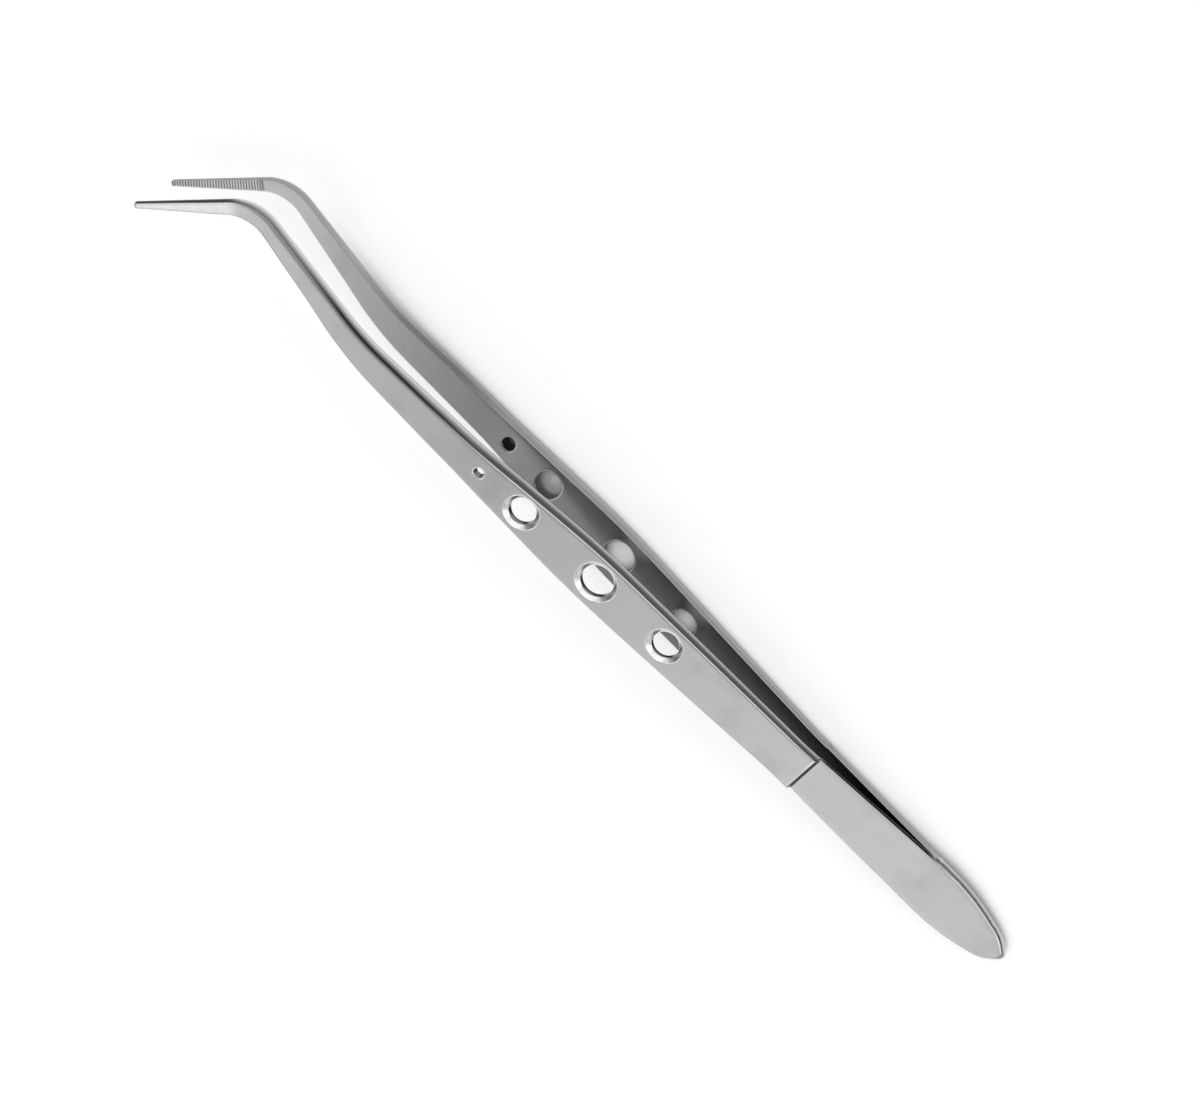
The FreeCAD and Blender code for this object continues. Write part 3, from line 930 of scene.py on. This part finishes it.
def satin_steel(name, face_hex, inner_hex, flank_hex, wear_and_highlight_hex, cut_and_reflection_hex, roughness):
    """Steel coloured by the five shares, with smudges, cloudy roughness and a blasted bump."""
    material, tree = new_material(name)
    place = add(tree, "ShaderNodeTexCoord").outputs["Object"]
    smudge, cloud, beads = (
        add(tree, "ShaderNodeTexNoise", {"Scale": scale, "Detail": detail, "Roughness": rough},
            Vector=place).outputs["Fac"] for scale, detail, rough in noises.values())
    flank, inner, painted_shade, wear_and_highlight, cut = (
        add(tree, "ShaderNodeAttribute", {"attribute_name": n}).outputs["Fac"]
        for n in ("flank", "inner", "painted_shade", "wear_and_highlight", "machined_and_reflection"))
    dark = add(tree, "ShaderNodeMapRange", {"From Min": 0.52, "From Max": 0.78, "To Max": 0.24},
               Value=smudge)
    colour = add(tree, "ShaderNodeMix",
                 {"data_type": "RGBA", 6: linear(face_hex), 7: linear(smudge_hex)},
                 Factor=dark.outputs["Result"])
    # Mixed in turn: the inner face's painted shade, the sides' tone, wear and painted highlights,
    # the cutter's finish and its painted reflection, and last the painted shade.
    for share, shade in ((inner, inner_hex), (flank, flank_hex), (wear_and_highlight, wear_and_highlight_hex), (cut, cut_and_reflection_hex),
                         (painted_shade, painted_shade_hex)):
        colour = add(tree, "ShaderNodeMix", {"data_type": "RGBA", 7: linear(shade)}, Factor=share,
                     i6=colour.outputs[2])
    rough = add(tree, "ShaderNodeMapRange",
                {"From Min": 0.3, "From Max": 0.7, "To Min": roughness - 0.02,
                 "To Max": roughness + 0.02}, Value=cloud)
    shine = add(tree, "ShaderNodeMath", {"operation": "MAXIMUM"}, i0=wear_and_highlight, i1=cut)
    shine = add(tree, "ShaderNodeMath", {"operation": "MAXIMUM"}, i0=shine.outputs[0], i1=inner)
    shine = add(tree, "ShaderNodeMath", {"operation": "MULTIPLY", 1: 0.12}, i0=shine.outputs[0])
    rough = add(tree, "ShaderNodeMath", {"operation": "SUBTRACT"}, i0=rough.outputs["Result"],
                i1=shine.outputs[0])
    bump = add(tree, "ShaderNodeBump", {"Strength": 0.05, "Distance": 0.00002}, Height=beads)
    steel = add(tree, "ShaderNodeBsdfPrincipled", {"Metallic": 1.0}, Base_Color=colour.outputs[2],
                Roughness=rough.outputs[0], Normal=bump.outputs["Normal"])
    add(tree, "ShaderNodeOutputMaterial", Surface=steel.outputs["BSDF"])
    return material


blasted = satin_steel("stainless steel, glass-bead blasted", "#bababa", "#8a8a8a", "#c0c0c0",
                      "#e0e0df", "#e4e4e4", 0.34)
ground = satin_steel("stainless weld, ground flush", "#c0c0bf", "#8d8d8b", "#c4c4c3", "#d6d6d5",
                     "#cfcfcd", 0.3)
for piece, material in ((upper_blank, blasted), (lower_blank, blasted), (weld, ground)):
    piece.data.materials.append(material)

# %% [markdown]
# ## Floor, light and camera
#
# The photograph is a product shot on white: a wide soft light from the left, a weak shadow to the
# right. The floor is matt and nearly white. For the camera and for reflections it also gives off a
# little light of its own, so that it reads as white while the pliers' shadow stays on it.

# %% The floor
def floor_material():
    """A matt floor. Ambient occlusion over 3.5 mm takes its own light away beside the pliers."""
    material, tree = new_material("matt white table")
    rays = add(tree, "ShaderNodeLightPath").outputs
    seen = add(tree, "ShaderNodeMath", {"operation": "MAXIMUM"}, i0=rays["Is Camera Ray"],
               i1=rays["Is Glossy Ray"])
    seen = add(tree, "ShaderNodeMath", {"operation": "MAXIMUM"}, i0=seen.outputs[0],
               i1=rays["Is Transmission Ray"])
    shade = add(tree, "ShaderNodeMix",
                {"data_type": "RGBA", 6: linear("#e4e4e4"), 7: linear("#c8c8c8")},
                Factor=seen.outputs[0])
    matt = add(tree, "ShaderNodeBsdfDiffuse", Color=shade.outputs[2])
    near = add(tree, "ShaderNodeAmbientOcclusion", {"Distance": 0.0035, "samples": 8})
    clear = add(tree, "ShaderNodeMapRange", {"From Min": 0.3, "From Max": 0.66},
                Value=near.outputs["AO"])
    share = add(tree, "ShaderNodeMath", {"operation": "MULTIPLY"}, i0=seen.outputs[0],
                i1=clear.outputs["Result"])
    own = add(tree, "ShaderNodeMath", {"operation": "MULTIPLY", 1: 0.59}, i0=share.outputs[0])
    glow = add(tree, "ShaderNodeEmission", {"Color": linear("#ffffff")}, Strength=own.outputs[0])
    both = add(tree, "ShaderNodeAddShader", i0=matt.outputs[0], i1=glow.outputs[0])
    add(tree, "ShaderNodeOutputMaterial", Surface=both.outputs[0])
    return material


floor_mesh = bpy.data.meshes.new("table")
reach = 3.0
floor_mesh.from_pydata([(-reach, -reach, 0), (reach, -reach, 0), (reach, reach, 0),
                        (-reach, reach, 0)], [], [(0, 1, 2, 3)])
floor = bpy.data.objects.new("table", floor_mesh)
bpy.context.scene.collection.objects.link(floor)
floor.data.materials.append(floor_material())

# %% [markdown]
# The world is darker towards the horizon, which gives the ground sides their contrast. The camera
# sees plain white, and so do reflections near the horizon. Seven soft lamps stand where the faces,
# sides and countersinks of the photograph mirror a light.

# %% Light from the world and seven soft lamps
world = bpy.data.worlds.new("pale studio")
bpy.context.scene.world = world
world.use_nodes = True
sky = world.node_tree
sky.nodes.clear()
upward = add(sky, "ShaderNodeSeparateXYZ",
             Vector=add(sky, "ShaderNodeTexCoord").outputs["Generated"]).outputs["Z"]
height = add(sky, "ShaderNodeMapRange",
             {"interpolation_type": "SMOOTHSTEP", "From Min": 0.1, "From Max": 0.78,
              "To Min": 0.08, "To Max": 0.45}, Value=upward)
rays = add(sky, "ShaderNodeLightPath").outputs
backdrop = add(sky, "ShaderNodeMapRange", {"From Min": 0.05, "From Max": 0.2, "To Min": 1.0,
                                           "To Max": 0.0}, Value=upward)
mirrored = add(sky, "ShaderNodeMath", {"operation": "MAXIMUM"}, i0=rays["Is Glossy Ray"],
               i1=rays["Is Transmission Ray"])
mirrored = add(sky, "ShaderNodeMath", {"operation": "MULTIPLY"}, i0=mirrored.outputs[0],
               i1=backdrop.outputs["Result"])
pale = add(sky, "ShaderNodeMath", {"operation": "MAXIMUM"}, i0=rays["Is Camera Ray"],
           i1=mirrored.outputs[0])
strength = add(sky, "ShaderNodeMix", {"B": 1.0}, Factor=pale.outputs[0],
               A=height.outputs["Result"])
light = add(sky, "ShaderNodeBackground", {"Color": linear("#fcfcfc")},
            Strength=strength.outputs[0])
add(sky, "ShaderNodeOutputWorld", Surface=light.outputs[0])


def soft_lamp(name, place, wide, tall, radiance):
    """A lamp at a place in metres, aimed at the pliers. Its power is radiance x pi x area."""
    lamp = bpy.data.lights.new(name, "AREA")
    lamp.shape = "RECTANGLE"
    lamp.size, lamp.size_y = wide, tall
    lamp.energy = radiance * math.pi * wide * tall
    holder = bpy.data.objects.new(name, lamp)
    holder.location = place
    holder.rotation_euler = (-Vector(place)).to_track_quat("-Z", "Y").to_euler()
    bpy.context.scene.collection.objects.link(holder)


soft_lamp("wide light from the left", (-0.2, 1.05, 0.75), 1.0, 0.6, 1.0)
soft_lamp("sheet behind the camera", (0.0, -1.0, 0.72), 5.0, 0.6, 0.95)
soft_lamp("end light at the heel", (-0.46, 0.63, 0.98), 0.5, 0.5, 0.95)
soft_lamp("light over the jaws", (0.42, 0.63, 1.06), 0.55, 0.55, 1.25)
soft_lamp("low light past the heel", (-1.1, -0.45, 0.48), 0.9, 0.5, 1.1)
soft_lamp("sheet beyond the heel", (-1.15, -0.15, 1.15), 1.1, 0.8, 0.75)
soft_lamp("sheet beyond the jaws", (1.15, -0.15, 1.15), 1.1, 0.8, 0.75)

# %% [markdown]
# The camera's pose was fitted to the holes, the jaws and the outline in the photograph. The angles
# are of the direction from the pliers to the camera, in the middle plane's frame.

# %% The camera that took the photograph
focal_pixels, photo_width = 3175.3, 1200
camera_distance = 420.54
camera_target = np.array([75.519, -0.04, 0.0])
lean, swing, roll = math.radians(30.97), math.radians(1.07), math.radians(135.27)
to_camera = np.array([math.sin(swing), -math.sin(lean) * math.cos(swing),
                      math.cos(lean) * math.cos(swing)])
level_way = np.array([1.0, 0, 0]) - to_camera * to_camera[0]
level_way /= np.linalg.norm(level_way)
upright = np.cross(to_camera, level_way)
camera_right = math.cos(roll) * level_way - math.sin(roll) * upright
camera_up = math.sin(roll) * level_way + math.cos(roll) * upright
camera_place = laid_down([camera_target + camera_distance * to_camera])[0]
axes = np.stack([camera_right, camera_up, to_camera]) @ laid.T
camera = bpy.data.cameras.new("camera")
camera.sensor_width = 36.0
camera.lens = focal_pixels / photo_width * camera.sensor_width
camera.clip_start, camera.clip_end = 0.01, 20.0
camera.dof.use_dof = False
camera_object = bpy.data.objects.new("camera", camera)
turned = Matrix(axes.T.tolist()).to_4x4()
camera_object.matrix_world = Matrix.Translation(camera_place.tolist()) @ turned
bpy.context.scene.collection.objects.link(camera_object)
bpy.context.scene.camera = camera_object
bpy.context.scene.view_settings.view_transform = "Standard"
print("camera at", camera_place.round(4), "lens %.2f mm" % camera.lens)
